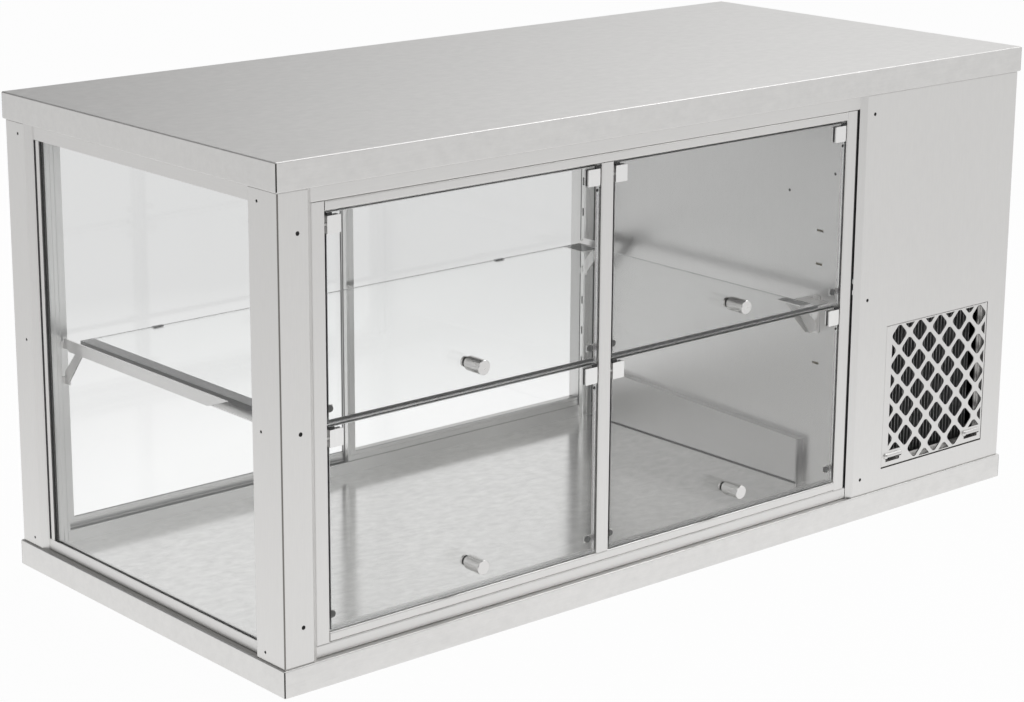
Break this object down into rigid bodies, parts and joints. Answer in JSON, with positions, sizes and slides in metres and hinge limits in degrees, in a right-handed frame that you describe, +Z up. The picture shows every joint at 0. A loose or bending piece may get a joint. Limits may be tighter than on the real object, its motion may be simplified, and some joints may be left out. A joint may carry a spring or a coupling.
{
  "type": "refrigerated display case",
  "caption": "Countertop refrigerated display case with lift-up glass flaps, a glass side, a shelf, rear sliding doors and a side machine compartment behind a grille.",
  "frame": {"origin": "centre of the base underside", "axes": "+X to the right along the front, +Y to the rear, +Z up"},
  "size_m": [1.2, 0.568, 0.59],
  "materials": {
    "stainless": "brushed stainless sheet, satin",
    "lining_steel": "brushed stainless lining",
    "clear_glass": "clear polished glass",
    "clip_metal": "satin hinge clip",
    "knob_steel": "turned and brushed",
    "profile_aluminium": "anodised profile",
    "foam": "rigid foam",
    "seal_rubber": "black seal",
    "clear_bumper": "clear bumper",
    "stop_plastic": "dark stop",
    "bracket_steel": "brushed bracket",
    "coil_aluminium": "bare fins",
    "shroud_metal": "galvanised grey",
    "black_metal": "black enamel",
    "fan_plastic": "moulded blade",
    "copper": "bare copper tube",
    "tray_aluminium": "folded tray",
    "black_plastic": "moulded panel",
    "dial_plastic": "moulded dial",
    "rocker_plastic": "moulded rocker"
  },
  "bodies": {
    "case": {"base_pan": "stainless", "bulkhead_liner": "lining_steel", "ceiling_liner": "lining_steel", "compressor": "black_metal", "condenser": "coil_aluminium", "control_panel": "black_plastic", "display_floor": "lining_steel", "door_bumpers": "clear_bumper", "door_tracks": "profile_aluminium", "drip_tray": "tray_aluminium", "electrics_box": "shroud_metal", "evaporator": "coil_aluminium", "fan_motor": "black_metal", "fan_shroud": "shroud_metal", "frame_mullion": "stainless", "frame_rails": "stainless", "frame_stiles": "stainless", "front_left_post": "stainless", "front_rails": "stainless", "glass_seals": "seal_rubber", "insulation_boards": "foam", "left_shelf_bracket": "bracket_steel", "machine_front_cover": "stainless", "machine_partition": "stainless", "machine_rear_cover": "stainless", "machine_side_cover": "stainless", "pipework": "copper", "power_inlet": "black_plastic", "rear_jamb": "profile_aluminium", "rear_left_post": "stainless", "rear_rails": "stainless", "rear_uprights": "profile_aluminium", "right_shelf_brackets": "bracket_steel", "side_glass": "clear_glass", "side_rails": "stainless", "top_panel": "stainless", "wall_cover": "lining_steel"},
    "flap_upper_left": {"flap_glass_upper_left": "clear_glass", "flap_clips_upper_left": "clip_metal", "flap_knob_upper_left": "knob_steel"},
    "flap_lower_left": {"flap_glass_lower_left": "clear_glass", "flap_clips_lower_left": "clip_metal", "flap_knob_lower_left": "knob_steel"},
    "flap_upper_right": {"flap_glass_upper_right": "clear_glass", "flap_clips_upper_right": "clip_metal", "flap_knob_upper_right": "knob_steel"},
    "flap_lower_right": {"flap_glass_lower_right": "clear_glass", "flap_clips_lower_right": "clip_metal", "flap_knob_lower_right": "knob_steel"},
    "service_door_left": {"service_frame_left": "profile_aluminium", "service_glass_left": "clear_glass"},
    "service_door_right": {"service_frame_right": "profile_aluminium", "service_glass_right": "clear_glass"},
    "shelf": {"shelf_glass": "clear_glass", "shelf_stops": "stop_plastic"},
    "grille_panel": {"grille": "stainless"},
    "fan": {"fan_blade": "fan_plastic"},
    "dial": {"thermostat_dial": "dial_plastic"},
    "rocker": {"rocker_switch": "rocker_plastic"}
  },
  "joints": [
    {"name": "flap_upper_left_hinge", "type": "hinge", "parent": "case", "child": "flap_upper_left", "pos_m": [-0.33475, -0.262, 0.51305], "axis": [-1, 0, 0], "range_deg": [0, 90]},
    {"name": "flap_lower_left_hinge", "type": "hinge", "parent": "case", "child": "flap_lower_left", "pos_m": [-0.33475, -0.262, 0.27825], "axis": [-1, 0, 0], "range_deg": [0, 90]},
    {"name": "flap_upper_right_hinge", "type": "hinge", "parent": "case", "child": "flap_upper_right", "pos_m": [0.07875, -0.262, 0.51305], "axis": [-1, 0, 0], "range_deg": [0, 90]},
    {"name": "flap_lower_right_hinge", "type": "hinge", "parent": "case", "child": "flap_lower_right", "pos_m": [0.07875, -0.262, 0.27825], "axis": [-1, 0, 0], "range_deg": [0, 90]},
    {"name": "service_door_left_slide", "type": "slide", "parent": "case", "child": "service_door_left", "axis": [1, 0, 0], "range_m": [0, 0.42]},
    {"name": "service_door_right_slide", "type": "slide", "parent": "case", "child": "service_door_right", "axis": [-1, 0, 0], "range_m": [0, 0.42]},
    {"name": "shelf_lift", "type": "slide", "parent": "case", "child": "shelf", "axis": [0, 0, 1], "range_m": [0, 0.15]},
    {"name": "grille_pull", "type": "slide", "parent": "case", "child": "grille_panel", "axis": [0, -1, 0], "range_m": [0, 0.06]},
    {"name": "fan_spin", "type": "hinge", "parent": "case", "child": "fan", "pos_m": [0.444, -0.196, 0.156], "axis": [0, 1, 0], "continuous": true},
    {"name": "dial_turn", "type": "hinge", "parent": "case", "child": "dial", "pos_m": [0.392, 0.2525, 0.44], "axis": [0, -1, 0], "range_deg": [0, 270]},
    {"name": "rocker_tip", "type": "hinge", "parent": "case", "child": "rocker", "pos_m": [0.44, 0.25475, 0.44], "axis": [1, 0, 0], "range_deg": [-8, 8]}
  ]
}
